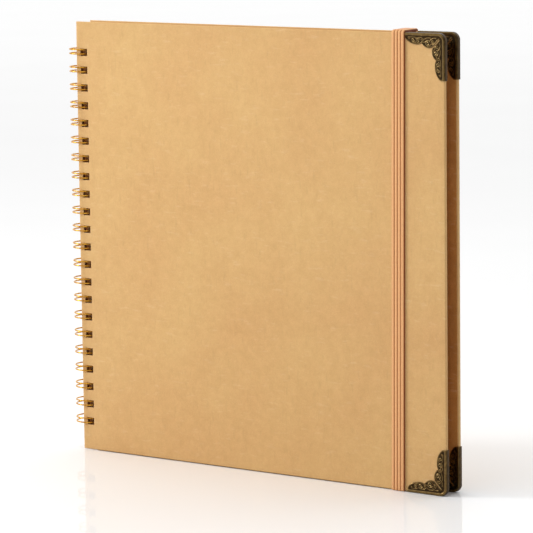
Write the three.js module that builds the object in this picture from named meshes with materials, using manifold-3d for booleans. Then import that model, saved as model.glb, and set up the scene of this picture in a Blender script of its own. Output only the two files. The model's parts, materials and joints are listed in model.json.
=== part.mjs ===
// A wire-bound scrapbook album that stands on its bottom edge.
// Millimetres, +Z up. The spine is at -X, the front cover faces -Y, and the origin is at the
// centre of the footprint. Two wrapped board covers and sixteen leaves turn on one twin-loop
// wire, metal corner guards protect the fore-edge, and an elastic band holds the album shut.
import * as THREE from "three";
import { mergeVertices } from "three/addons/utils/BufferGeometryUtils.js";
import Module from "manifold-3d";

const wasm = await Module();
wasm.setup();

// Covers
const COVER_WIDTH = 314;
const COVER_HEIGHT = 309;
const ALBUM_THICKNESS = 18.1;
const WRAP_PAPER = 0.25;
const BOARD_THICKNESS = 2;
const ENDPAPER = 0.15;
const TURN_IN = 16;
const ENDPAPER_MARGIN = 1.2;
const FORE_EDGE_RADIUS = 5;
const LEAST_RADIUS = 0.5;
const GLUE_GAP = 0.05;

// Leaves
const LEAF_COUNT = 16;
const LEAF_SIDE = 300;
const LEAF_THICKNESS = 0.5;
const LEAF_PITCH = 0.685;
const LEAF_MARGIN = 6;

// Twin-loop wire
const LOOP_COUNT = 22;
const LOOP_PITCH = 12.7;
const FIRST_HOLE = 20.5;
const HOLE_WIDTH = 5.9;
const HOLE_HEIGHT = 5.1;
const HOLE_FROM_SPINE = 6.85;
const WIRE_WIDTH = 0.9;
const WIRE_RADIUS = 10.68;
const WIRE_PAIR = 3.1;
const WIRE_LIFT = 0.3;
const RING_X = -0.1;
const ROOT_ANGLE = 90;
const TIP_ANGLE = -254;
const ARC_STEPS = 13;
const CORNER_CUT = 0.8;
const LEAF_HOLE_INSET = WIRE_WIDTH / 4;

// Metal corner guards
const METAL = 0.5;
const GUARD_LEG = 31;
const GUARD_CORNER_STEPS = 5;

// Corners of a guard's scalloped outline on one leg: how far along the edge from the cover's
// corner, and how deep in from the edge.
const OUTER_LOBE_SHOULDER = [29, 7.4];
const OUTER_LOBE = [21.5, 7.4];
const OUTER_LOBE_FOOT = [18.6, 7.4];
const NOTCH = [17.6, 6.4];
const INNER_LOBE_SHOULDER = [16.6, 9.6];
const INNER_LOBE = [12.4, 9.6];
const SLIT_MOUTH = [9.6, 9];
const SLIT_END = [4.3, 4];

// Elastic band
const BAND_WIDTH = 9.5;
const BAND_THICKNESS = 1.2;
const BAND_TOP_FROM_EDGE = 36.1;
const BAND_BOTTOM_FROM_EDGE = 38.5;
const BAND_PRESSED = 0.4;
const ANCHOR_RUN = 14;
const PART_GAP = 0.3;

// Making
const CUT_OVER = 1;
const WELD = 1e-4;
const CURVE_SEGMENTS = 5;

// Derived places
const BASE = METAL + GLUE_GAP;
const TOP = BASE + COVER_HEIGHT;
const OUTER_FACE = ALBUM_THICKNESS / 2;
const COVER_BODY = 2 * WRAP_PAPER + BOARD_THICKNESS;
const INNER_FACE = OUTER_FACE - COVER_BODY;
const LEAF_BASE = BASE + (COVER_HEIGHT - LEAF_SIDE) / 2;

const KRAFT = paint(0xd9b07a, 0.85, 0);
const BOARD = paint(0xb48a5c, 0.95, 0);
const PAGE = paint(0xc89a66, 0.9, 0);
const GOLD_WIRE = paint(0xe0aa3c, 0.3, 1);
const ANTIQUE_BRASS = paint(0x6e5a34, 0.45, 1);
const ELASTIC = paint(0xe8b487, 0.8, 0);

function paint(color, roughness, metalness) {
  return new THREE.MeshStandardMaterial({ color, roughness, metalness });
}

// Booleans

function toSolid(geometry) {
  const bare = geometry.clone();
  bare.deleteAttribute("normal");
  bare.deleteAttribute("uv");
  const merged = mergeVertices(bare, WELD);
  const vertProperties = merged.attributes.position.array;
  const triVerts = new Uint32Array(merged.index.array);
  return new wasm.Manifold(new wasm.Mesh({ numProp: 3, vertProperties, triVerts }));
}

function toGeometry(solid) {
  const { vertProperties, triVerts } = solid.getMesh();
  const geometry = new THREE.BufferGeometry();
  geometry.setAttribute("position", new THREE.BufferAttribute(vertProperties, 3));
  geometry.setIndex(new THREE.BufferAttribute(triVerts, 1));
  return geometry;
}

function cut(geometry, ...tools) {
  return toGeometry(tools.reduce((rest, tool) => rest.subtract(toSolid(tool)), toSolid(geometry)));
}

function join(geometry, ...others) {
  return toGeometry(others.reduce((sum, other) => sum.add(toSolid(other)), toSolid(geometry)));
}

// Outlines, drawn in X and Z, and the plates made from them

function plate(shape, yLow, yHigh) {
  const depth = yHigh - yLow;
  const options = { depth, bevelEnabled: false, curveSegments: CURVE_SEGMENTS };
  const slab = new THREE.ExtrudeGeometry(shape, options);
  return slab.rotateX(Math.PI / 2).translate(0, yHigh, 0);
}

function box(xLow, xHigh, yLow, yHigh, zLow, zHigh) {
  const block = new THREE.BoxGeometry(xHigh - xLow, yHigh - yLow, zHigh - zLow);
  return block.translate((xLow + xHigh) / 2, (yLow + yHigh) / 2, (zLow + zHigh) / 2);
}

// The cover's outline, moved inwards by inset: square at the spine, round at the fore-edge.
function coverOutline(inset) {
  const left = inset;
  const right = COVER_WIDTH - inset;
  const low = BASE + inset;
  const high = TOP - inset;
  const radius = Math.max(FORE_EDGE_RADIUS - inset, LEAST_RADIUS);
  const outline = new THREE.Shape();
  outline.moveTo(left, low);
  outline.lineTo(right - radius, low);
  outline.absarc(right - radius, low + radius, radius, -Math.PI / 2, 0);
  outline.lineTo(right, high - radius);
  outline.absarc(right - radius, high - radius, radius, 0, Math.PI / 2);
  outline.lineTo(left, high);
  return outline;
}

function loopCentre(index) {
  return BASE + FIRST_HOLE + index * LOOP_PITCH;
}

// One rectangular binding hole for each pair of wires.
function punch(outline, centreX, lift) {
  for (let index = 0; index < LOOP_COUNT; index++) {
    const centreZ = loopCentre(index) + lift;
    const hole = new THREE.Path();
    hole.moveTo(centreX - HOLE_WIDTH / 2, centreZ - HOLE_HEIGHT / 2);
    hole.lineTo(centreX + HOLE_WIDTH / 2, centreZ - HOLE_HEIGHT / 2);
    hole.lineTo(centreX + HOLE_WIDTH / 2, centreZ + HOLE_HEIGHT / 2);
    hole.lineTo(centreX - HOLE_WIDTH / 2, centreZ + HOLE_HEIGHT / 2);
    outline.holes.push(hole);
  }
  return outline;
}

// Covers. Each is made as the back cover, whose outer face is at +Y, and the front cover is
// the same pieces mirrored in Y.

// The board is thinner round its rim, where the wrap paper is turned in over it.
function coverBoard(grow) {
  const yHigh = OUTER_FACE - WRAP_PAPER + grow;
  const rim = coverOutline(WRAP_PAPER + GLUE_GAP - grow);
  const middle = coverOutline(TURN_IN - grow);
  const thin = plate(rim, INNER_FACE + WRAP_PAPER + GLUE_GAP - grow, yHigh);
  return join(thin, plate(middle, INNER_FACE, yHigh - CUT_OVER));
}

function wrapPaper() {
  const whole = plate(coverOutline(0), INNER_FACE, OUTER_FACE);
  const middle = coverOutline(TURN_IN - GLUE_GAP);
  const window = plate(middle, INNER_FACE - CUT_OVER, OUTER_FACE - CUT_OVER);
  return cut(whole, coverBoard(GLUE_GAP), window);
}

function endpaper() {
  const outline = punch(coverOutline(ENDPAPER_MARGIN), HOLE_FROM_SPINE, 0);
  return plate(outline, INNER_FACE - GLUE_GAP - ENDPAPER, INNER_FACE - GLUE_GAP);
}

function throughCover(xLow, xHigh, zLow, zHigh) {
  return box(xLow, xHigh, INNER_FACE - CUT_OVER, OUTER_FACE + CUT_OVER, zLow, zHigh);
}

function bindingHoles() {
  const holes = [];
  for (let index = 0; index < LOOP_COUNT; index++) {
    const xLow = HOLE_FROM_SPINE - HOLE_WIDTH / 2;
    const zLow = loopCentre(index) - HOLE_HEIGHT / 2;
    holes.push(throughCover(xLow, xLow + HOLE_WIDTH, zLow, zLow + HOLE_HEIGHT));
  }
  return holes;
}

// Slots in the back cover, where the band's two ends go in.
function bandSlots() {
  const highX = COVER_WIDTH - BAND_TOP_FROM_EDGE;
  const lowX = COVER_WIDTH - BAND_BOTTOM_FROM_EDGE;
  const half = BAND_WIDTH / 2 + PART_GAP;
  const depth = BAND_THICKNESS + 2 * PART_GAP;
  const high = TOP - ANCHOR_RUN - PART_GAP;
  const low = BASE + ANCHOR_RUN + PART_GAP;
  return [
    throughCover(highX - half, highX + half, high, high + depth),
    throughCover(lowX - half, lowX + half, low - depth, low),
  ];
}

function mirrored(geometry) {
  const copy = geometry.clone().scale(1, -1, 1);
  const index = copy.index.array;
  for (let i = 0; i < index.length; i += 3) {
    [index[i + 1], index[i + 2]] = [index[i + 2], index[i + 1]];
  }
  return copy;
}

// Leaves. A leaf's binding edge follows the round wire, so its holes lie where the wire crosses.

function leafPlace(index) {
  return (index - (LEAF_COUNT - 1) / 2) * LEAF_PITCH;
}

function leaf(index) {
  const centreY = leafPlace(index);
  const holeX = RING_X + Math.sqrt(WIRE_RADIUS ** 2 - centreY ** 2) - LEAF_HOLE_INSET;
  const left = holeX - LEAF_MARGIN;
  const outline = new THREE.Shape();
  outline.moveTo(left, LEAF_BASE);
  outline.lineTo(left + LEAF_SIDE, LEAF_BASE);
  outline.lineTo(left + LEAF_SIDE, LEAF_BASE + LEAF_SIDE);
  outline.lineTo(left, LEAF_BASE + LEAF_SIDE);
  punch(outline, holeX, WIRE_LIFT);
  return plate(outline, centreY - LEAF_THICKNESS / 2, centreY + LEAF_THICKNESS / 2);
}

// Wire. One wire is bent into a comb of long fingers, then rolled round so that each finger
// becomes a pair of rings. Short upright stretches behind the back cover join the fingers.

class WirePath extends THREE.Curve {
  constructor(points) {
    super();
    this.points = points;
  }
  getPoint(t) {
    const place = t * (this.points.length - 1);
    const index = Math.min(Math.floor(place), this.points.length - 2);
    return this.points[index].clone().lerp(this.points[index + 1], place - index);
  }
  getPointAt(u) {
    return this.getPoint(u);
  }
  getTangentAt(u) {
    const last = this.points.length - 1;
    const index = Math.round(u * last);
    const before = this.points[Math.max(index - 1, 0)];
    const here = this.points[index];
    const after = this.points[Math.min(index + 1, last)];
    const arriving = here.clone().sub(before).normalize();
    const leaving = after.clone().sub(here).normalize();
    return arriving.add(leaving).normalize();
  }
}

function onRing(degrees, z) {
  const angle = THREE.MathUtils.degToRad(degrees);
  return new THREE.Vector3(
    RING_X + WIRE_RADIUS * Math.cos(angle),
    WIRE_RADIUS * Math.sin(angle),
    z,
  );
}

function fingerPoints(centreZ) {
  const low = centreZ - WIRE_PAIR / 2;
  const high = centreZ + WIRE_PAIR / 2;
  const cutAngle = THREE.MathUtils.radToDeg(CORNER_CUT / WIRE_RADIUS);
  const points = [onRing(ROOT_ANGLE, low - CORNER_CUT)];
  for (let step = 0; step <= ARC_STEPS; step++) {
    const sweep = TIP_ANGLE - ROOT_ANGLE + 2 * cutAngle;
    points.push(onRing(ROOT_ANGLE - cutAngle + (sweep * step) / ARC_STEPS, low));
  }
  points.push(onRing(TIP_ANGLE, low + CORNER_CUT));
  points.push(onRing(TIP_ANGLE, high - CORNER_CUT));
  for (let step = ARC_STEPS; step >= 0; step--) {
    const sweep = TIP_ANGLE - ROOT_ANGLE + 2 * cutAngle;
    points.push(onRing(ROOT_ANGLE - cutAngle + (sweep * step) / ARC_STEPS, high));
  }
  points.push(onRing(ROOT_ANGLE, high + CORNER_CUT));
  return points;
}

function twinLoopWire() {
  const points = [];
  for (let index = 0; index < LOOP_COUNT; index++) {
    points.push(...fingerPoints(loopCentre(index) + WIRE_LIFT));
  }
  const half = WIRE_WIDTH / 2;
  const section = new THREE.Shape();
  section.moveTo(-half, -half);
  section.lineTo(half, -half);
  section.lineTo(half, half);
  section.lineTo(-half, half);
  const extrudePath = new WirePath(points);
  return new THREE.ExtrudeGeometry(section, { steps: points.length - 1, extrudePath });
}

// Metal corner guards. The scalloped outline has two lobes on each leg and a slit on the
// diagonal, and the same outline folds over both faces of the cover.

function guardOutline(flipZ) {
  const outside = METAL + GLUE_GAP;
  const radius = FORE_EDGE_RADIUS + outside;
  const place = ([along, depth]) => [COVER_WIDTH - depth, flipZ ? TOP - along : BASE + along];
  const turned = ([along, depth]) => place([depth, along]);
  const outline = new THREE.Shape();
  outline.moveTo(...place([GUARD_LEG, -outside]));
  outline.lineTo(...place([GUARD_LEG, 0]));
  outline.quadraticCurveTo(...place(OUTER_LOBE_SHOULDER), ...place(OUTER_LOBE));
  outline.quadraticCurveTo(...place(OUTER_LOBE_FOOT), ...place(NOTCH));
  outline.quadraticCurveTo(...place(INNER_LOBE_SHOULDER), ...place(INNER_LOBE));
  outline.lineTo(...place(SLIT_MOUTH));
  outline.lineTo(...place(SLIT_END));
  outline.lineTo(...turned(SLIT_END));
  outline.lineTo(...turned(SLIT_MOUTH));
  outline.lineTo(...turned(INNER_LOBE));
  outline.quadraticCurveTo(...turned(INNER_LOBE_SHOULDER), ...turned(NOTCH));
  outline.quadraticCurveTo(...turned(OUTER_LOBE_FOOT), ...turned(OUTER_LOBE));
  outline.quadraticCurveTo(...turned(OUTER_LOBE_SHOULDER), ...turned([GUARD_LEG, 0]));
  outline.lineTo(...turned([GUARD_LEG, -outside]));
  outline.lineTo(...turned([FORE_EDGE_RADIUS, -outside]));
  for (let step = 1; step < GUARD_CORNER_STEPS; step++) {
    const angle = (Math.PI / 2) * (step / GUARD_CORNER_STEPS);
    const along = FORE_EDGE_RADIUS - radius * Math.sin(angle);
    const depth = FORE_EDGE_RADIUS - radius * Math.cos(angle);
    outline.lineTo(...turned([along, depth]));
  }
  outline.lineTo(...place([FORE_EDGE_RADIUS, -outside]));
  return outline;
}

function cornerGuard(flipZ) {
  const skin = METAL + GLUE_GAP;
  const inner = INNER_FACE - GLUE_GAP - ENDPAPER;
  const whole = plate(guardOutline(flipZ), inner - skin, OUTER_FACE + skin);
  const cover = plate(coverOutline(-GLUE_GAP), inner - GLUE_GAP, OUTER_FACE + GLUE_GAP);
  return cut(whole, cover);
}

// Elastic band. The front run is straight and leans a little, and each end turns over the
// covers' edges, runs along the back and goes in through its slot.

function bandCentre(z) {
  const share = (z - BASE) / COVER_HEIGHT;
  const fromEdge = THREE.MathUtils.lerp(BAND_BOTTOM_FROM_EDGE, BAND_TOP_FROM_EDGE, share);
  return COVER_WIDTH - fromEdge;
}

function bandFrontRun() {
  const low = BASE + PART_GAP;
  const high = TOP - PART_GAP;
  const half = BAND_WIDTH / 2;
  const outline = new THREE.Shape();
  outline.moveTo(bandCentre(low) - half, low);
  outline.lineTo(bandCentre(low) + half, low);
  outline.lineTo(bandCentre(high) + half, high);
  outline.lineTo(bandCentre(high) - half, high);
  const face = -OUTER_FACE - GLUE_GAP;
  return plate(outline, face - BAND_THICKNESS, face);
}

// One end of the band: over the edge at edgeZ, down the back and through the cover.
function bandEnd(edgeZ, outwards, thickness) {
  const half = BAND_WIDTH / 2;
  const centreX = bandCentre(edgeZ);
  const bar = (yLow, yHigh, from, to) => {
    const ends = [edgeZ + outwards * from, edgeZ + outwards * to];
    return box(centreX - half, centreX + half, yLow, yHigh, Math.min(...ends), Math.max(...ends));
  };
  const face = OUTER_FACE + GLUE_GAP;
  const outside = face + BAND_THICKNESS;
  const over = bar(-outside, outside, GLUE_GAP, GLUE_GAP + thickness);
  const back = bar(face, outside, -ANCHOR_RUN, GLUE_GAP + thickness);
  const through = bar(INNER_FACE + GLUE_GAP, outside, -ANCHOR_RUN, BAND_THICKNESS - ANCHOR_RUN);
  return join(over, back, through);
}

// Assembly

const album = new THREE.Group();

function add(name, geometry, material) {
  const mesh = new THREE.Mesh(geometry, material);
  mesh.name = name;
  album.add(mesh);
}

function addCover(side, place, slots) {
  const openings = [...bindingHoles(), ...slots];
  add(`${side}_cover_board`, place(cut(coverBoard(0), ...openings)), BOARD);
  add(`${side}_cover_wrap`, place(cut(wrapPaper(), ...openings)), KRAFT);
  add(`${side}_endpaper`, place(toGeometry(toSolid(endpaper()))), KRAFT);
  add(`${side}_top_corner_guard`, place(cornerGuard(true)), ANTIQUE_BRASS);
  add(`${side}_bottom_corner_guard`, place(cornerGuard(false)), ANTIQUE_BRASS);
}

addCover("back", (geometry) => geometry, bandSlots());
addCover("front", mirrored, []);
for (let index = 0; index < LEAF_COUNT; index++) {
  add(`leaf_${String(index + 1).padStart(2, "0")}`, leaf(index), PAGE);
}
add("twin_loop_wire", twinLoopWire(), GOLD_WIRE);
add("band_front_run", bandFrontRun(), ELASTIC);
add("band_top_end", bandEnd(TOP, 1, BAND_THICKNESS), ELASTIC);
add("band_bottom_end", bandEnd(BASE, -1, BAND_PRESSED), ELASTIC);

// The footprint's centre becomes the origin.
const extent = new THREE.Box3().setFromObject(album);
const centre = extent.getCenter(new THREE.Vector3());
album.position.set(-centre.x, -centre.y, -extent.min.z);

const part = new THREE.Group();
part.add(album);

export default part;
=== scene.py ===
import json
import math

import bmesh
import bpy
import numpy as np
from mathutils import Matrix, Vector


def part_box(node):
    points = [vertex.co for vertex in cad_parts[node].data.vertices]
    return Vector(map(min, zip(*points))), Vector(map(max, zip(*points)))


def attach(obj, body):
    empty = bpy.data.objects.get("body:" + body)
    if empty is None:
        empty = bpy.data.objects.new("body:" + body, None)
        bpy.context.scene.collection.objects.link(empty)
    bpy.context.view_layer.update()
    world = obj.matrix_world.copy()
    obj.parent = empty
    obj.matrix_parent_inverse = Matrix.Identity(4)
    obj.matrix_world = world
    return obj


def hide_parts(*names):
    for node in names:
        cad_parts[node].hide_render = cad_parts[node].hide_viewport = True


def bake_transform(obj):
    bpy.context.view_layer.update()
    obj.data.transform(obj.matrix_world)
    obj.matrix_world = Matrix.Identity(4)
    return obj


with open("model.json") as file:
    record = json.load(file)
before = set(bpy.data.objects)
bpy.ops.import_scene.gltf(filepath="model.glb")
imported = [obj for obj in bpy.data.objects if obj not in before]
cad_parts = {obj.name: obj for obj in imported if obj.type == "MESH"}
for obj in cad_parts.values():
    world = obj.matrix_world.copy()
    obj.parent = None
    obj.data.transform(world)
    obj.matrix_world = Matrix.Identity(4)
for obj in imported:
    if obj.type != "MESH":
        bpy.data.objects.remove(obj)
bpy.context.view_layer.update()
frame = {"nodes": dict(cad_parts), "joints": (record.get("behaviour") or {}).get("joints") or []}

MM = 0.001

# Places that the frame gives

front_low, front_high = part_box("front_cover_wrap")
back_low, back_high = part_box("back_cover_wrap")
front_face = front_low.y
back_face = back_high.y
spine_x = front_low.x
fore_x = front_high.x
base_z = front_low.z
top_z = front_high.z
cover_body = front_high.y - front_low.y
ring_x, ring_y = next(j for j in frame["joints"] if j["name"] == "front_cover_turn")["pos_m"][:2]
wire_low, wire_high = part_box("twin_loop_wire")
band_low, band_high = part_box("band_front_run")

# Twin-loop wire and the holes that it runs through

LOOP_COUNT = 22
LOOP_PITCH = 12.7 * MM
HOLE_FROM_SPINE = 6.85 * MM
HOLE_WIDTH = 5.9 * MM
HOLE_HEIGHT = 5.1 * MM
# The middle of a finger over the middle of its hole
WIRE_LIFT = 0.3 * MM
WIRE_RADIUS = 0.5 * MM
RING_RADIUS = 10.47 * MM
WIRE_PAIR = 3.1 * MM
WIRE_BEND = 0.9 * MM
ARC_STEPS = 56
BEND_STEPS = 4
# A finger runs round the ring from behind the back cover, in through its hole and out at the
# front, then past the spine and behind the back cover again.
ROOT_ANGLE = 90
TIP_ANGLE = -254
first_loop_z = (wire_low.z + wire_high.z) / 2 - LOOP_PITCH * (LOOP_COUNT - 1) / 2


def loop_z(index):
    return first_loop_z + index * LOOP_PITCH


# Materials

def linear(red, green, blue):
    """A colour given in 0 to 255 display values, as the shader's linear values."""
    def one(value):
        value /= 255
        return value / 12.92 if value <= 0.04045 else ((value + 0.055) / 1.055) ** 2.4
    return (one(red), one(green), one(blue), 1)


class Nodes:
    """A node material under construction. Its methods make nodes and hand on their outputs."""

    def __init__(self, name):
        self.material = bpy.data.materials.new(name)
        self.material.use_nodes = True
        self.tree = self.material.node_tree
        self.shader = self.tree.nodes["Principled BSDF"]
        self.place = self.add("ShaderNodeTexCoord").outputs["Object"]

    def add(self, kind, **values):
        node = self.tree.nodes.new(kind)
        for key, value in values.items():
            setattr(node, key, value)
        return node

    def join(self, source, target):
        self.tree.links.new(source, target)

    def set(self, **values):
        for key, value in values.items():
            self.shader.inputs[key.replace("_", " ")].default_value = value

    def stretch(self, scale, rotation=(0, 0, 0)):
        mapping = self.add("ShaderNodeMapping")
        mapping.inputs["Scale"].default_value = scale
        mapping.inputs["Rotation"].default_value = rotation
        self.join(self.place, mapping.inputs["Vector"])
        return mapping.outputs["Vector"]

    def noise(self, scale, detail=3, roughness=0.5, vector=None, distortion=0):
        node = self.add("ShaderNodeTexNoise")
        node.inputs["Scale"].default_value = scale
        node.inputs["Detail"].default_value = detail
        node.inputs["Roughness"].default_value = roughness
        node.inputs["Distortion"].default_value = distortion
        self.join(vector or self.place, node.inputs["Vector"])
        return node.outputs["Fac"]

    def ramp(self, source, *stops):
        node = self.add("ShaderNodeValToRGB")
        elements = node.color_ramp.elements
        while len(elements) < len(stops):
            elements.new(0.5)
        for element, (position, colour) in zip(elements, stops):
            element.position = position
            element.color = colour
        self.join(source, node.inputs["Fac"])
        return node.outputs["Color"]

    def grey(self, source, low, high, start=0.3, end=0.7):
        return self.ramp(source, (start, (low, low, low, 1)), (end, (high, high, high, 1)))

    def mix(self, factor, first, second, blend="MIX"):
        node = self.add("ShaderNodeMix", data_type="RGBA", blend_type=blend)
        for value, name in ((factor, "Factor"), (first, "A"), (second, "B")):
            socket = [s for s in node.inputs if s.name == name and s.enabled][0]
            if isinstance(value, bpy.types.NodeSocket):
                self.join(value, socket)
            else:
                socket.default_value = value
        return [s for s in node.outputs if s.enabled][0]

    def maths(self, operation, first, second=0.0):
        node = self.add("ShaderNodeMath", operation=operation)
        for value, socket in ((first, node.inputs[0]), (second, node.inputs[1])):
            if isinstance(value, bpy.types.NodeSocket):
                self.join(value, socket)
            else:
                socket.default_value = value
        return node.outputs[0]

    def bump(self, *layers):
        """Each layer is (height, distance in metres, strength)."""
        normal = None
        for height, distance, strength in layers:
            node = self.add("ShaderNodeBump")
            node.inputs["Distance"].default_value = distance
            node.inputs["Strength"].default_value = strength
            self.join(height, node.inputs["Height"])
            if normal:
                self.join(normal, node.inputs["Normal"])
            normal = node.outputs["Normal"]
        self.join(normal, self.shader.inputs["Normal"])

    def colour(self, source):
        self.join(source, self.shader.inputs["Base Color"])

    def roughness(self, source):
        self.join(source, self.shader.inputs["Roughness"])


def paper(name, light, dark, grain=1.0):
    """Uncoated kraft: faintly cloudy pulp, short fibres in two directions and a fine tooth."""
    n = Nodes(name)
    cloud = n.noise(150, detail=4, roughness=0.65)
    broad = n.noise(14, detail=2)
    fine = n.noise(1500, detail=3)
    along = n.noise(520, detail=2, vector=n.stretch((1, 1, 0.22), (0, 0.35, 0)))
    across = n.noise(520, detail=2, vector=n.stretch((0.22, 1, 1), (0, 0.25, 0)))
    pulp = n.ramp(cloud, (0.30, dark), (0.70, light))
    pulp = n.mix(0.10, pulp, n.grey(broad, 0.2, 0.8), "OVERLAY")
    specks = n.maths("MULTIPLY", n.grey(along, 0, 1, 0.60, 0.74), 0.09 * grain)
    darker = n.mix(specks, pulp, linear(150, 108, 62))
    fibres = n.maths("MULTIPLY", n.grey(across, 0, 1, 0.60, 0.76), 0.12 * grain)
    lit = n.mix(fibres, darker, linear(250, 228, 190))
    tooth = n.mix(0.10 * grain, lit, n.grey(fine, 0.15, 0.85), "OVERLAY")
    n.colour(tooth)
    n.roughness(n.grey(cloud, 0.78, 0.92))
    n.bump((fine, 0.00008, 0.35), (along, 0.00010, 0.2), (cloud, 0.0002, 0.12))
    n.set(Specular_IOR_Level=0.25)
    return n.material


def gold_wire():
    """Gold-coloured coated steel wire, drawn smooth, with faint lengthwise wear."""
    n = Nodes("gold_wire")
    wear = n.noise(260, detail=3)
    n.colour(n.ramp(wear, (0.35, linear(188, 130, 40)), (0.65, linear(222, 168, 66))))
    n.roughness(n.grey(wear, 0.20, 0.34))
    n.set(Metallic=1.0)
    n.bump((n.noise(1800, detail=2), 0.00002, 0.2))
    return n.material


def antique_brass():
    """Pressed brass coloured by its shade attribute: blackened patina in the hollows, ridges rubbed
    bright with a painted highlight, and painted shade on the fold and the wall.
    """
    n = Nodes("antique_brass")
    height = n.add("ShaderNodeAttribute", attribute_name="relief_shade").outputs["Fac"]
    patches = n.noise(420, detail=4)
    mixed = n.maths("ADD", height, n.maths("MULTIPLY", n.maths("SUBTRACT", patches, 0.5), 0.45))
    # The dark stops are the patina in the hollows; the light stops are rubbed wear and a painted
    # highlight on the ridges
    n.colour(
        n.ramp(
            mixed,
            (0.10, linear(48, 36, 22)),
            (0.38, linear(88, 69, 42)),
            (0.62, linear(132, 108, 66)),
            (0.92, linear(200, 176, 124)),
        )
    )
    n.roughness(n.grey(mixed, 0.46, 0.20, 0.15, 0.8))
    n.set(Metallic=1.0)
    n.bump((n.noise(2600, detail=3), 0.00006, 0.35), (patches, 0.00012, 0.2))
    return n.material


def ribbed_elastic():
    """Woven elastic: the ribs are in the mesh, and the yarn over them is a fine slanting weave. Its
    colour follows the shade attribute: painted shade in the grooves and along the side edges, and
    painted highlight on the crests.
    """
    n = Nodes("ribbed_elastic")
    depth = n.add("ShaderNodeAttribute", attribute_name="relief_shade").outputs["Fac"]
    yarn = n.add("ShaderNodeTexWave", wave_type="BANDS", bands_direction="Z")
    yarn.inputs["Scale"].default_value = 380
    yarn.inputs["Distortion"].default_value = 0.6
    yarn.inputs["Detail"].default_value = 1
    n.join(n.stretch((0.45, 0.3, 1), (0, 0.12, 0)), yarn.inputs["Vector"])
    fuzz = n.noise(1700, detail=3)
    # Painted light: the dark stop is shade in the grooves and the shadow at the edges, the light stop
    # lit crests
    base = n.ramp(
        depth,
        (0.05, linear(136, 66, 30)),
        (0.40, linear(206, 138, 84)),
        (0.85, linear(238, 180, 124)),
    )
    woven = n.mix(0.16, base, n.grey(yarn.outputs["Fac"], 0.1, 0.9, 0.2, 0.8), "OVERLAY")
    n.colour(n.mix(0.10, woven, n.grey(fuzz, 0.1, 0.9), "OVERLAY"))
    n.roughness(n.grey(fuzz, 0.72, 0.92))
    n.set(Sheen_Weight=0.25, Sheen_Roughness=0.4, Specular_IOR_Level=0.3)
    n.bump((yarn.outputs["Fac"], 0.00010, 0.5), (fuzz, 0.00006, 0.4))
    return n.material


def pale_floor():
    """Nearly white, and so smooth that it gives back a faint reflection."""
    n = Nodes("pale_floor")
    n.colour(n.grey(n.noise(3, detail=2), 0.92, 0.94))
    n.set(Roughness=0.02, Specular_IOR_Level=0.03)
    return n.material


KRAFT = paper("kraft_wrap", linear(223, 180, 122), linear(215, 171, 113))
PAGE = paper("kraft_page", linear(202, 156, 104), linear(186, 140, 90), grain=1.3)
# The endpaper is coloured darker and more orange than the page, partly as painted shade inside the
# covers
ENDPAPER = paper("kraft_endpaper", linear(202, 142, 78), linear(188, 128, 66))
# The board core for the hole walls, coloured darker and redder than the kraft partly as painted shade in
# the holes
BOARD = paper("grey_board", linear(150, 104, 66), linear(128, 86, 52), grain=1.6)
GOLD = gold_wire()
BRASS = antique_brass()
ELASTIC = ribbed_elastic()

# Mesh helpers

def new_object(name, bm, material, smooth_angle=None):
    mesh = bpy.data.meshes.new(name)
    bm.to_mesh(mesh)
    bm.free()
    mesh.materials.append(material)
    if smooth_angle is not None:
        mesh.shade_smooth()
        mesh.set_sharp_from_angle(angle=math.radians(smooth_angle))
    thing = bpy.data.objects.new(name, mesh)
    bpy.context.scene.collection.objects.link(thing)
    return thing


def set_material(node, material):
    data = frame["nodes"][node].data
    data.materials.clear()
    data.materials.append(material)


def grid_faces(bm, rows, close_rows=False):
    """Joins a list of rows of vertices with quads."""
    for first, second in zip(rows, rows[1:]):
        pairs = list(zip(first, second))
        if close_rows:
            pairs.append(pairs[0])
        for (a, b), (c, d) in zip(pairs, pairs[1:]):
            bm.faces.new((a, c, d, b))


# Covers: a board wrapped in kraft paper, with softly rounded edges and punched holes

COVER_CORNER = 5 * MM
COVER_CORNER_STEPS = 8
EDGE_ROUNDING = 0.75 * MM
HOLE_ROUNDING = 0.14 * MM
# A rim's two ends differ by less than this in y, and its faces meet at more than this, in radians
RIM_LEVEL = 1e-7
RIM_ANGLE = 1.0
# The y part of a hole wall's normal is under this
WALL_NORMAL = 0.5
# Between these two distances from the spine edge, a cover has no edges but those of its holes
STRIP_START = 1 * MM
STRIP_END = 12 * MM


def cover_outline_right():
    """The fore-edge side of the outline, from the bottom to the top, with its round corners."""
    radius = COVER_CORNER
    points = []
    for centre_z, start in ((base_z + radius, -90), (top_z - radius, 0)):
        for step in range(COVER_CORNER_STEPS + 1):
            angle = math.radians(start + 90 * step / COVER_CORNER_STEPS)
            x = fore_x - radius + radius * math.cos(angle)
            points.append((x, centre_z + radius * math.sin(angle)))
    return points


def at_holes(point):
    """Whether a point of a cover's edge or wall belongs to a hole and not to the outline."""
    in_strip = STRIP_START < point.x - spine_x < STRIP_END
    return in_strip and base_z + STRIP_START < point.z < top_z - STRIP_START


def is_rim(edge):
    """Whether an edge runs round the outline or round a hole, on one of the cover's two faces."""
    level = abs(edge.verts[0].co.y - edge.verts[1].co.y) < RIM_LEVEL
    return level and edge.is_manifold and edge.calc_face_angle() > RIM_ANGLE


def round_off(bm, edges, radius, segments):
    bmesh.ops.bevel(
        bm, geom=edges, offset=radius, segments=segments, profile=0.5, affect="EDGES", clamp_overlap=True
    )


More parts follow.
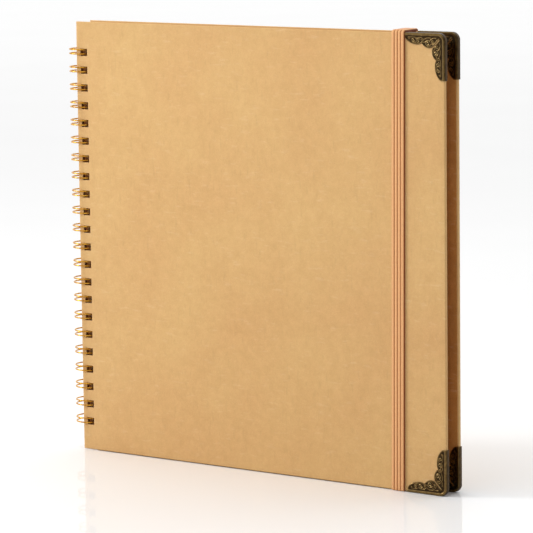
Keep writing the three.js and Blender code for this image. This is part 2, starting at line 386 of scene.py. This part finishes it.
def wrapped_cover(name, y_low, y_high, body):
    """A plate with its holes left open in a grid along the spine; the hole walls show the board,
    coloured darker as painted shade in the holes.
    """
    bm = bmesh.new()
    levels = [base_z]
    for index in range(LOOP_COUNT):
        centre = loop_z(index) - WIRE_LIFT
        levels += [centre - HOLE_HEIGHT / 2, centre + HOLE_HEIGHT / 2]
    levels.append(top_z)
    columns = [spine_x]
    columns += [spine_x + HOLE_FROM_SPINE + side * HOLE_WIDTH / 2 for side in (-1, 1)]
    grid = [[bm.verts.new((x, y_low, z)) for z in levels] for x in columns]
    for row in range(len(levels) - 1):
        bm.faces.new((grid[0][row], grid[1][row], grid[1][row + 1], grid[0][row + 1]))
        between_holes = row % 2 == 0
        if between_holes:
            bm.faces.new((grid[1][row], grid[2][row], grid[2][row + 1], grid[1][row + 1]))
    right = [bm.verts.new((x, y_low, z)) for x, z in cover_outline_right()]
    bm.faces.new(right + grid[2][::-1])
    made = bmesh.ops.extrude_face_region(bm, geom=bm.faces[:])
    moved = [v for v in made["geom"] if isinstance(v, bmesh.types.BMVert)]
    bmesh.ops.translate(bm, verts=moved, vec=(0, y_high - y_low, 0))
    bmesh.ops.recalc_face_normals(bm, faces=bm.faces[:])
    rims = [(e, at_holes((e.verts[0].co + e.verts[1].co) / 2)) for e in bm.edges if is_rim(e)]
    round_off(bm, [e for e, of_hole in rims if not of_hole], EDGE_ROUNDING, segments=5)
    round_off(bm, [e for e, of_hole in rims if of_hole and e.is_valid], HOLE_ROUNDING, segments=2)
    cover = new_object(name, bm, KRAFT, smooth_angle=35)
    cover.data.materials.append(BOARD)
    for face in cover.data.polygons:
        if at_holes(face.center) and abs(face.normal.y) < WALL_NORMAL:
            face.material_index = 1
    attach(cover, body)
    return cover


# Twin-loop wire

def on_ring(degrees, z):
    angle = math.radians(degrees)
    return Vector((ring_x + RING_RADIUS * math.cos(angle), ring_y + RING_RADIUS * math.sin(angle), z))


def finger_points(centre_z):
    """One finger: in from the root, round the ring, back along its twin and out to the root."""
    low = centre_z - WIRE_PAIR / 2
    high = centre_z + WIRE_PAIR / 2
    bend_angle = math.degrees(WIRE_BEND / RING_RADIUS)
    points = []

    def corner(at_angle, inwards, from_z, to_z):
        """A quarter turn from the upright stretch at at_angle into the ring at to_z."""
        for step in range(BEND_STEPS + 1):
            turn = math.radians(90 * step / BEND_STEPS)
            angle = at_angle + inwards * bend_angle * (1 - math.cos(turn))
            yield on_ring(angle, from_z + (to_z - from_z) * math.sin(turn))

    start = ROOT_ANGLE - bend_angle
    sweep = TIP_ANGLE + bend_angle - start
    arc = [start + sweep * step / ARC_STEPS for step in range(1, ARC_STEPS)]
    points += corner(ROOT_ANGLE, -1, low - WIRE_BEND, low)
    points += [on_ring(angle, low) for angle in arc]
    points += list(corner(TIP_ANGLE, 1, low + WIRE_BEND, low))[::-1]
    points += corner(TIP_ANGLE, 1, high - WIRE_BEND, high)
    points += [on_ring(angle, high) for angle in reversed(arc)]
    points += list(corner(ROOT_ANGLE, -1, high + WIRE_BEND, high))[::-1]
    return points


def tube(bm, points, radius, sides=10):
    """A round tube along the points, its section carried without twisting, with closed ends."""
    tangents = []
    for index in range(len(points)):
        before = points[max(index - 1, 0)]
        after = points[min(index + 1, len(points) - 1)]
        tangents.append((after - before).normalized())
    normal = tangents[0].orthogonal().normalized()
    rings = []
    for point, tangent in zip(points, tangents):
        normal = (normal - tangent * normal.dot(tangent)).normalized()
        side = tangent.cross(normal)
        ring = []
        for step in range(sides):
            angle = 2 * math.pi * step / sides
            offset = normal * math.cos(angle) + side * math.sin(angle)
            ring.append(bm.verts.new(point + offset * radius))
        rings.append(ring)
    grid_faces(bm, rings, close_rows=True)
    bm.faces.new(rings[0])
    bm.faces.new(rings[-1][::-1])
    bmesh.ops.recalc_face_normals(bm, faces=bm.faces[:])


def twin_loop_wire():
    """One wire, bent to and fro into a comb of fingers."""
    points = []
    for index in range(LOOP_COUNT):
        points += finger_points(loop_z(index))
    bm = bmesh.new()
    tube(bm, points, WIRE_RADIUS)
    wire = new_object("twin_loop_wire_round", bm, GOLD, smooth_angle=60)
    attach(wire, "back_cover")
    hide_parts("twin_loop_wire")


# Corner guards, in millimetres until their vertices are made. A leg is measured by s, along the
# edge from the corner, and v, in from the edge.

GUARD_LEG = 31.0
GUARD_GAP = 0.45
CORNER_RADIUS = 5.0
SHEET = 0.38
FOLD_RADIUS = 0.62
ENDPAPER_ROOM = 0.2

# The scalloped rim of a flange
SLIT_START = 4.0
SLIT_END = 9.4
SLIT_HALF = 0.62
SLIT_TAPER = 0.8
INNER_LOBE_S = 12.0
INNER_LOBE_V = 3.06
INNER_LOBE_RADIUS = 6.5
NOTCH_S = 17.6
OUTER_LOBE_S = 21.3
OUTER_LOBE_V = 0.05
OUTER_LOBE_RADIUS = 7.35
OUTER_LOBE_DEPTH = OUTER_LOBE_V + OUTER_LOBE_RADIUS
OUTER_LOBE_RUN = 10.4

# The pressing: a bead along the outer edge, a lip along the rim, and scrolls between them
BEAD_HEIGHT = 0.40
BEAD_INSET = 1.0
BEAD_HALF = 0.95
LIP_HEIGHT = 0.22
LIP_INSET = 0.45
LIP_HALF = 0.30
SCROLLS_START = 2.2
SCROLLS_FADE = 0.5
INNER_PRESSING = 0.4
NO_RIM = 9.0
FAR = 1e9

# The fineness of a flange's mesh
GUARD_ROWS = 176
GUARD_COLUMNS = 46
INNER_COLUMNS = 30
WALL_ROWS = 5
COLUMN_CROWDING = 1.25
MERGE = 0.004 * MM
SLIVER = 0.003 * MM

# How light the shade attribute makes the brass, from 0 to 1: low on the flat sheet as patina, higher on
# raised lines as rubbed wear and painted highlight, cut on the fold and low on the wall as painted
# shade, and held to a limit on the bead
FLAT_SHADE = 0.14
SHADE_PER_HEIGHT = 2.1
SHADE_PER_FOLD = 0.2
BEAD_ZONE = 2.0
BEAD_SHADE_LIMIT = 0.52
WALL_SHADE = 0.30


def scallop_depth(s):
    """How far in from the edge the flange reaches: diagonal, slit, two lobes."""
    if s < SLIT_START:
        return s
    if s < SLIT_END:
        return s - SLIT_HALF * math.sqrt(min(1.0, (s - SLIT_START) / SLIT_TAPER))
    if s < NOTCH_S:
        return INNER_LOBE_V + math.sqrt(INNER_LOBE_RADIUS**2 - (s - INNER_LOBE_S) ** 2)
    if s < OUTER_LOBE_S:
        return OUTER_LOBE_V + math.sqrt(OUTER_LOBE_RADIUS**2 - (s - OUTER_LOBE_S) ** 2)
    return OUTER_LOBE_DEPTH * math.sqrt(1 - ((s - OUTER_LOBE_S) / OUTER_LOBE_RUN) ** 2)


def outer_line(s):
    """The guard's outer boundary: just outside the cover's edge, round at the corner."""
    radius = CORNER_RADIUS + GUARD_GAP
    if s >= CORNER_RADIUS:
        return -GUARD_GAP
    return CORNER_RADIUS - math.sqrt(radius**2 - (CORNER_RADIUS - s) ** 2)


def spiral(centre, start_radius, end_radius, turns, start_angle, count=70, tightening=0.8):
    """Winds in from start_radius, at start_angle in degrees; negative turns run clockwise."""
    points = []
    for step in range(count):
        share = step / (count - 1)
        radius = start_radius + (end_radius - start_radius) * share**tightening
        angle = math.radians(start_angle) + 2 * math.pi * turns * share
        points.append((centre[0] + radius * math.cos(angle), centre[1] + radius * math.sin(angle)))
    return points


def bow(start, control, end, count=36):
    """A bent line from start to end that leans towards control."""
    points = []
    for step in range(count):
        share = step / (count - 1)
        weights = ((1 - share) ** 2, 2 * share * (1 - share), share**2)
        points.append(tuple(np.dot(weights, (start, control, end))))
    return points


# Raised lines of the pressed pattern on one leg: (points in s and v, half width, height)
SCROLLS = [
    (spiral((9.0, 5.5), 1.5, 0.35, 1.2, 60), 0.27, 0.26),
    (spiral((12.9, 6.5), 2.2, 0.45, 1.4, -150), 0.30, 0.32),
    (spiral((16.6, 4.2), 1.2, 0.3, -1.2, 110), 0.26, 0.24),
    (spiral((20.4, 4.9), 1.8, 0.4, 1.35, -160), 0.29, 0.30),
    (spiral((24.4, 4.3), 1.4, 0.3, -1.3, 150), 0.27, 0.28),
    (spiral((27.6, 3.2), 0.8, 0.25, 1.1, -120), 0.25, 0.22),
    (bow((6.2, 3.2), (8.6, 2.3), (11.0, 4.6)), 0.28, 0.28),
    (bow((10.2, 3.1), (12.8, 2.3), (15.4, 3.9)), 0.27, 0.26),
    (bow((14.8, 5.4), (16.2, 6.6), (17.6, 5.4)), 0.26, 0.24),
    (bow((17.2, 2.9), (19.6, 2.3), (22.2, 3.4)), 0.27, 0.26),
    (bow((21.9, 5.9), (23.6, 6.6), (25.2, 5.6)), 0.25, 0.22),
    (bow((23.0, 2.7), (25.6, 2.3), (27.2, 2.6)), 0.25, 0.22),
    (bow((10.3, 7.2), (11.2, 8.4), (12.8, 8.7)), 0.24, 0.20),
    (bow((7.6, 5.9), (8.4, 7.2), (9.6, 7.3)), 0.24, 0.20),
]


def pressed_height(s, v, edge, rim):
    """Height of the pressed pattern above the flat sheet, on numpy arrays."""
    height = np.zeros_like(s)
    for points, half_width, tall in SCROLLS:
        gap = np.full_like(s, FAR)
        for point_s, point_v in points:
            gap = np.minimum(gap, (s - point_s) ** 2 + (v - point_v) ** 2)
        height = np.maximum(height, tall * np.exp(-gap / half_width**2))
    height *= np.clip((edge - SCROLLS_START) / SCROLLS_FADE, 0, 1)
    bead = BEAD_HEIGHT * np.sqrt(np.clip(1 - ((edge - BEAD_INSET) / BEAD_HALF) ** 2, 0, 1))
    lip = LIP_HEIGHT * np.exp(-(((rim - LIP_INSET) / LIP_HALF) ** 2))
    return np.maximum(np.maximum(height, bead), lip)


def guard_leg_grid():
    """s, v, distance to the outer edge and distance to the scalloped rim, as 2-D arrays."""
    corner = CORNER_RADIUS - (CORNER_RADIUS + GUARD_GAP) * math.sqrt(0.5)
    s_values = corner + (GUARD_LEG - corner) * np.linspace(0, 1, GUARD_ROWS)
    shares = np.linspace(0, 1, GUARD_COLUMNS) ** COLUMN_CROWDING
    s = np.repeat(s_values[:, None], GUARD_COLUMNS, axis=1)
    low = np.array([outer_line(x) for x in s_values])[:, None]
    high = np.array([scallop_depth(x) for x in s_values])[:, None]
    v = low + (high - low) * shares[None, :]
    in_corner = (s < CORNER_RADIUS) & (v < CORNER_RADIUS)
    round_edge = CORNER_RADIUS + GUARD_GAP - np.hypot(CORNER_RADIUS - s, CORNER_RADIUS - v)
    edge = np.where(in_corner, round_edge, np.minimum(s, v) + GUARD_GAP)
    rim = high - v + np.where(s < SLIT_START, NO_RIM, 0.0)
    return s, v, edge, np.minimum(rim, GUARD_LEG - s)


def face_outwards(bm, place, side):
    """Turns all the faces round if the one nearest place looks into the cover."""
    nearest = min(bm.faces, key=lambda face: (face.calc_center_median() - place).length)
    if nearest.normal.y * side < 0:
        bmesh.ops.reverse_faces(bm, faces=bm.faces[:])


def corner_guard(name, side, up, body, node):
    """side is -1 for the front cover and 1 for the back cover; up is 1 for the top corner."""
    outer_y = front_face if side < 0 else back_face
    inner_y = outer_y - side * (cover_body + ENDPAPER_ROOM * MM)
    edge_z = top_z if up > 0 else base_z
    s, v, edge, rim = guard_leg_grid()
    height = pressed_height(s, v, edge, rim)
    inner_columns = np.unique(np.linspace(0, GUARD_COLUMNS - 1, INNER_COLUMNS).astype(int))
    into_fold = np.clip(FOLD_RADIUS - edge, 0, FOLD_RADIUS)
    fold = FOLD_RADIUS - np.sqrt(np.clip(FOLD_RADIUS**2 - into_fold**2, 0, None))
    # Painted highlight on raised lines and painted shade cut into the fold round the cover's edge; the
    # bead is held under BEAD_SHADE_LIMIT
    relief_shade = np.clip(FLAT_SHADE + height * SHADE_PER_HEIGHT - fold * SHADE_PER_FOLD, 0, 1)
    relief_shade = np.where(edge < BEAD_ZONE, np.clip(relief_shade, 0, BEAD_SHADE_LIMIT), relief_shade)
    faint = INNER_PRESSING * height
    bm = bmesh.new()
    shade = bm.verts.layers.float.new("relief_shade")

    def flange(plane_y, outwards, upright, height, kept_columns):
        """Rows of vertices from the outer edge to the rim, on the leg that is upright or level."""
        lift = GUARD_GAP + height - fold
        rows = []
        for i in range(GUARD_ROWS):
            row = []
            for j in kept_columns:
                x, z = (v[i, j], s[i, j]) if upright else (s[i, j], v[i, j])
                y = plane_y + outwards * lift[i, j] * MM
                vert = bm.verts.new((fore_x - x * MM, y, edge_z - up * z * MM))
                vert[shade] = relief_shade[i, j]
                row.append(vert)
            rows.append(row)
        return rows

    for upright in (True, False):
        outer = flange(outer_y, side, upright, height, range(GUARD_COLUMNS))
        # The inner flange is pressed only faintly but coloured by the full shade values, so its pattern
        # is mostly painted highlight and shade
        inner = flange(inner_y, -side, upright, faint, inner_columns)
        rows = []
        for outer_row, inner_row in zip(outer, inner):
            wall = []
            for step in range(1, WALL_ROWS):
                vert = bm.verts.new(outer_row[0].co.lerp(inner_row[0].co, step / WALL_ROWS))
                # The wall across the cover's edge is painted darker, as shade
                vert[shade] = WALL_SHADE
                wall.append(vert)
            rows.append(outer_row[::-1] + wall + inner_row)
        grid_faces(bm, rows)
    bmesh.ops.remove_doubles(bm, verts=bm.verts[:], dist=MERGE)
    bmesh.ops.dissolve_degenerate(bm, edges=bm.edges[:], dist=SLIVER)
    bmesh.ops.recalc_face_normals(bm, faces=bm.faces[:])
    mid_flange = Vector((fore_x - GUARD_LEG / 2 * MM, outer_y, edge_z - up * INNER_LOBE_V * MM))
    face_outwards(bm, mid_flange, side)
    bmesh.ops.solidify(bm, geom=bm.faces[:], thickness=SHEET * MM)
    guard = new_object(name, bm, BRASS, smooth_angle=50)
    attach(guard, body)
    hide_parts(node)


# Elastic band

BAND_WIDTH = 10.2 * MM
BAND_THICK = 1.7 * MM
BAND_OFF = 0.06 * MM
OVER_GUARDS = 0.35 * MM
BAND_SOLID_WIDTH = 9.5 * MM
ANCHOR_RUN = 13.4 * MM
ANCHOR_DEPTH = 2 * MM
BACK_SHIFT = 2.5 * MM
BAND_BEND = 0.5 * MM
BAND_BEND_STEPS = 8
BAND_STEP = 2.5 * MM
RIBS = 4
RIB_STEPS = 10
RIB_FULLNESS = 0.8
GROOVE_SHARE = 0.5
# Painted shade on the band: how fast the grooves darken, and the tone of its inner face
GROOVE_DARKNESS = 1.4
INNER_SHADE = 0.5
# The share of its thickness that the band loses under the album, and the height over which it does
SQUEEZE = 0.72
SQUEEZE_HEIGHT = 0.5 * MM


def smooth_step(share):
    share = min(max(share, 0.0), 1.0)
    return share * share * (3 - 2 * share)


def band_profile():
    """Across the band: (place from the centre, height share) from edge to edge."""
    points = []
    for step in range(RIBS * RIB_STEPS + 1):
        across = step / (RIBS * RIB_STEPS) - 0.5
        in_rib = (step % RIB_STEPS) / RIB_STEPS
        crest = math.sqrt(1 - (2 * in_rib - 1) ** 2) ** RIB_FULLNESS
        points.append((across * BAND_WIDTH, GROOVE_SHARE + (1 - GROOVE_SHARE) * crest))
    return points


def band_path(corners):
    """Straight runs between the corner points (y, z), with a round bend at each square corner."""
    bends = [Vector(corners[0])]
    for before, here, after in zip(corners, corners[1:], corners[2:]):
        arriving = (Vector(here) - Vector(before)).normalized() * BAND_BEND
        leaving = (Vector(after) - Vector(here)).normalized() * BAND_BEND
        centre = Vector(here) - arriving + leaving
        for step in range(BAND_BEND_STEPS + 1):
            angle = math.radians(90 * step / BAND_BEND_STEPS)
            bends.append(centre - leaving * math.cos(angle) + arriving * math.sin(angle))
    bends.append(Vector(corners[-1]))
    path = bends[:1]
    for before, after in zip(bends, bends[1:]):
        pieces = max(1, round((after - before).length / BAND_STEP))
        path += [before.lerp(after, k / pieces) for k in range(1, pieces + 1)]
    return path


def band_centre_x(y, z):
    """The band leans: its centre is further in from the fore-edge at the bottom and at the back."""
    low_x = band_low.x + BAND_SOLID_WIDTH / 2
    high_x = band_high.x - BAND_SOLID_WIDTH / 2
    front_x = low_x + (high_x - low_x) * (z - base_z) / (top_z - base_z)
    return front_x - BACK_SHIFT * (y - front_face) / (back_face - front_face)


def elastic_band():
    """From its slot in the back cover over the top, down the front and under to the other slot."""
    front_y = front_face - BAND_OFF
    back_y = back_face + BAND_OFF
    over_z = top_z + OVER_GUARDS
    under_z = base_z - BAND_OFF
    inside_y = back_face - ANCHOR_DEPTH
    slot_top = top_z - ANCHOR_RUN
    slot_bottom = base_z + ANCHOR_RUN
    corners = [
        (inside_y, slot_top),
        (back_y, slot_top),
        (back_y, over_z),
        (front_y, over_z),
        (front_y, under_z),
        (back_y, under_z),
        (back_y, slot_bottom),
        (inside_y, slot_bottom),
    ]
    path = band_path(corners)
    profile = band_profile()
    bm = bmesh.new()
    shade = bm.verts.layers.float.new("relief_shade")
    rings = []
    for index, point in enumerate(path):
        before = path[max(index - 1, 0)]
        after = path[min(index + 1, len(path) - 1)]
        tangent = (after - before).normalized()
        outwards = Vector((tangent.y, -tangent.x))
        y, z = point
        centre_x = band_centre_x(y, z)
        thick = BAND_THICK * (1 - SQUEEZE * smooth_step(1 - (z - base_z) / SQUEEZE_HEIGHT))
        ring = []
        for across, height in profile:
            lift = outwards * height * thick
            ring.append(bm.verts.new((centre_x + across, y + lift[0], z + lift[1])))
            # Painted shade darkening towards the groove floors, and painted highlight on the crests
            above_groove = (height - GROOVE_SHARE) / (1 - GROOVE_SHARE)
            ring[-1][shade] = max(0.0, above_groove) ** GROOVE_DARKNESS
        for step, (across, _) in enumerate(reversed(profile)):
            ring.append(bm.verts.new((centre_x + across, y, z)))
            # The two side edges are painted fully dark as the band's shadow; the rest of the inner face
            # is painted at INNER_SHADE
            at_edge = step in (0, len(profile) - 1)
            ring[-1][shade] = 0.0 if at_edge else INNER_SHADE
        rings.append(ring)
    grid_faces(bm, rings, close_rows=True)
    bm.faces.new(rings[0])
    bm.faces.new(rings[-1][::-1])
    bmesh.ops.recalc_face_normals(bm, faces=bm.faces[:])
    band = new_object("elastic_band", bm, ELASTIC, smooth_angle=60)
    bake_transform(band)
    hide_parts("band_front_run", "band_top_end", "band_bottom_end")


# Camera, light and floor

AZIMUTH = 36.507
ELEVATION = 7.7455
ROLL = -0.696
FOCAL_LENGTH = 222.13
# From the front cover's bottom corner at the spine
CAMERA_PLACE = (1.50301, -1.80575, 0.45019)


def camera():
    """Looks from the front, to the right of the album and a little above it."""
    azimuth = math.radians(AZIMUTH)
    elevation = math.radians(ELEVATION)
    roll = math.radians(ROLL)
    back = Vector(
        (
            math.sin(azimuth) * math.cos(elevation),
            -math.cos(azimuth) * math.cos(elevation),
            math.sin(elevation),
        )
    )
    level = Vector((math.cos(azimuth), math.sin(azimuth), 0))
    upright = back.cross(level)
    right = level * math.cos(roll) + upright * math.sin(roll)
    up = upright * math.cos(roll) - level * math.sin(roll)
    data = bpy.data.cameras.new("camera")
    data.sensor_width = 36
    data.lens = FOCAL_LENGTH
    data.clip_end = 50
    seen_from = bpy.data.objects.new("camera", data)
    bpy.context.scene.collection.objects.link(seen_from)
    turn = Matrix((right, up, back)).transposed().to_4x4()
    place = Vector((spine_x, front_face, base_z)) + Vector(CAMERA_PLACE)
    seen_from.matrix_world = Matrix.Translation(place) @ turn
    bpy.context.scene.camera = seen_from


def area_light(name, place, aim, size, power):
    data = bpy.data.lights.new(name, "AREA")
    data.shape = "DISK"
    data.size = size
    data.energy = power
    lamp = bpy.data.objects.new(name, data)
    bpy.context.scene.collection.objects.link(lamp)
    lamp.location = place
    lamp.rotation_euler = (Vector(aim) - Vector(place)).to_track_quat("-Z", "Y").to_euler()


# The studio is white but for the side to the right of the camera. How far a direction points
# to that side sets how bright it is.
DARK_SIDE = (0.70, -0.70, -0.15)
WHITE_UP_TO = -0.35
DARK_FROM = 0.7
WHITE_STRENGTH = 1.16
DARK_STRENGTH = 0.12
FLOOR_HALF = 6


def studio():
    world = bpy.data.worlds.new("studio")
    world.use_nodes = True
    tree = world.node_tree
    backdrop = tree.nodes["Background"]
    towards = tree.nodes.new("ShaderNodeVectorMath")
    towards.operation = "DOT_PRODUCT"
    towards.inputs[1].default_value = DARK_SIDE
    tree.links.new(tree.nodes.new("ShaderNodeTexCoord").outputs["Generated"], towards.inputs[0])
    falloff = tree.nodes.new("ShaderNodeMapRange")
    falloff.inputs["From Min"].default_value = WHITE_UP_TO
    falloff.inputs["From Max"].default_value = DARK_FROM
    falloff.inputs["To Min"].default_value = WHITE_STRENGTH
    falloff.inputs["To Max"].default_value = DARK_STRENGTH
    tree.links.new(towards.outputs["Value"], falloff.inputs["Value"])
    tree.links.new(falloff.outputs["Result"], backdrop.inputs["Strength"])
    backdrop.inputs["Color"].default_value = (1, 1, 1, 1)
    bpy.context.scene.world = world
    bpy.context.scene.view_settings.view_transform = "Standard"
    centre = (0, 0, 0.15)
    area_light("key", place=(-1.7, -1.1, 0.9), aim=centre, size=0.5, power=19)
    area_light("top", place=(0.0, -0.7, 1.7), aim=centre, size=1.4, power=8)
    bm = bmesh.new()
    bmesh.ops.create_grid(bm, x_segments=8, y_segments=8, size=FLOOR_HALF)
    floor = new_object("floor", bm, pale_floor())


# Assembly

camera()
studio()

front = wrapped_cover("front_cover_wrapped", front_low.y, front_high.y, "front_cover")
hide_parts("front_cover_wrap", "front_cover_board")
back = wrapped_cover("back_cover_wrapped", back_low.y, back_high.y, "back_cover")
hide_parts("back_cover_wrap", "back_cover_board")
twin_loop_wire()
for cover, side in (("front", -1), ("back", 1)):
    for place, up in (("top", 1), ("bottom", -1)):
        node = f"{cover}_{place}_corner_guard"
        corner_guard(f"{node}_pressed", side, up, f"{cover}_cover", node)
elastic_band()
for cover in ("front", "back"):
    set_material(f"{cover}_endpaper", ENDPAPER)
for node in frame["nodes"]:
    if node.startswith("leaf_"):
        set_material(node, PAGE)
